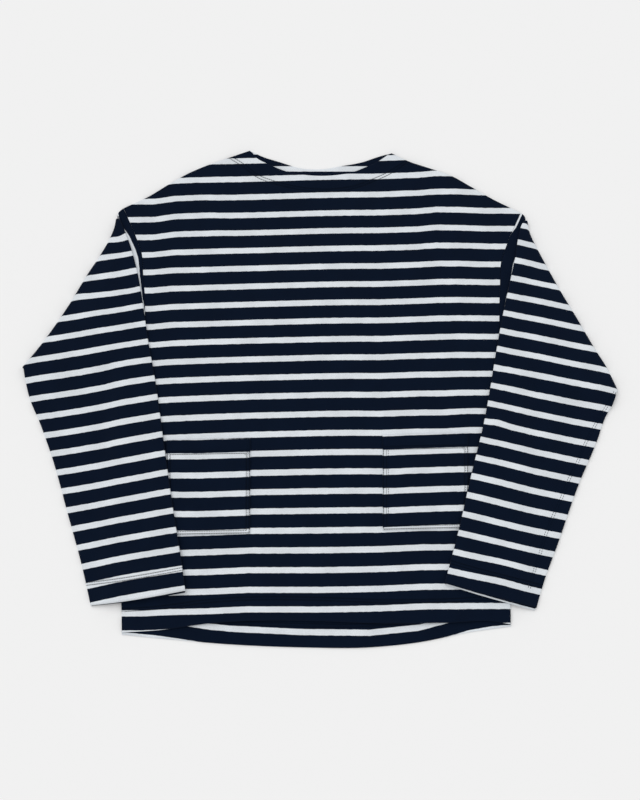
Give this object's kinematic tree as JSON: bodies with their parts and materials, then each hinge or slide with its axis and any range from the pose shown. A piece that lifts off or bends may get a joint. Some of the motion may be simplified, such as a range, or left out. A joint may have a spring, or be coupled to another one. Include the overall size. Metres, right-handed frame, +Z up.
{
  "type": "boatneck sweatshirt",
  "caption": "Boatneck sweatshirt in striped jersey, laid flat with both sleeves folded in over the front, with patch pockets on the lower front.",
  "frame": {"origin": "under the middle of the laid garment's outline, on the surface that it lies on", "axes": "+X across the garment towards the wearer's left sleeve, +Y from the hem towards the neck, +Z up from the surface"},
  "size_m": [0.847, 0.7196, 0.0145],
  "materials": {
    "striped_jersey": "matt cotton jersey, white and navy stripes",
    "thread": "matt navy sewing thread"
  },
  "bodies": {
    "root": {"front_panel": "striped_jersey", "back_panel": "striped_jersey", "right_sleeve": "striped_jersey", "left_sleeve": "striped_jersey", "right_pocket": "striped_jersey", "left_pocket": "striped_jersey"}
  },
  "joints": []
}
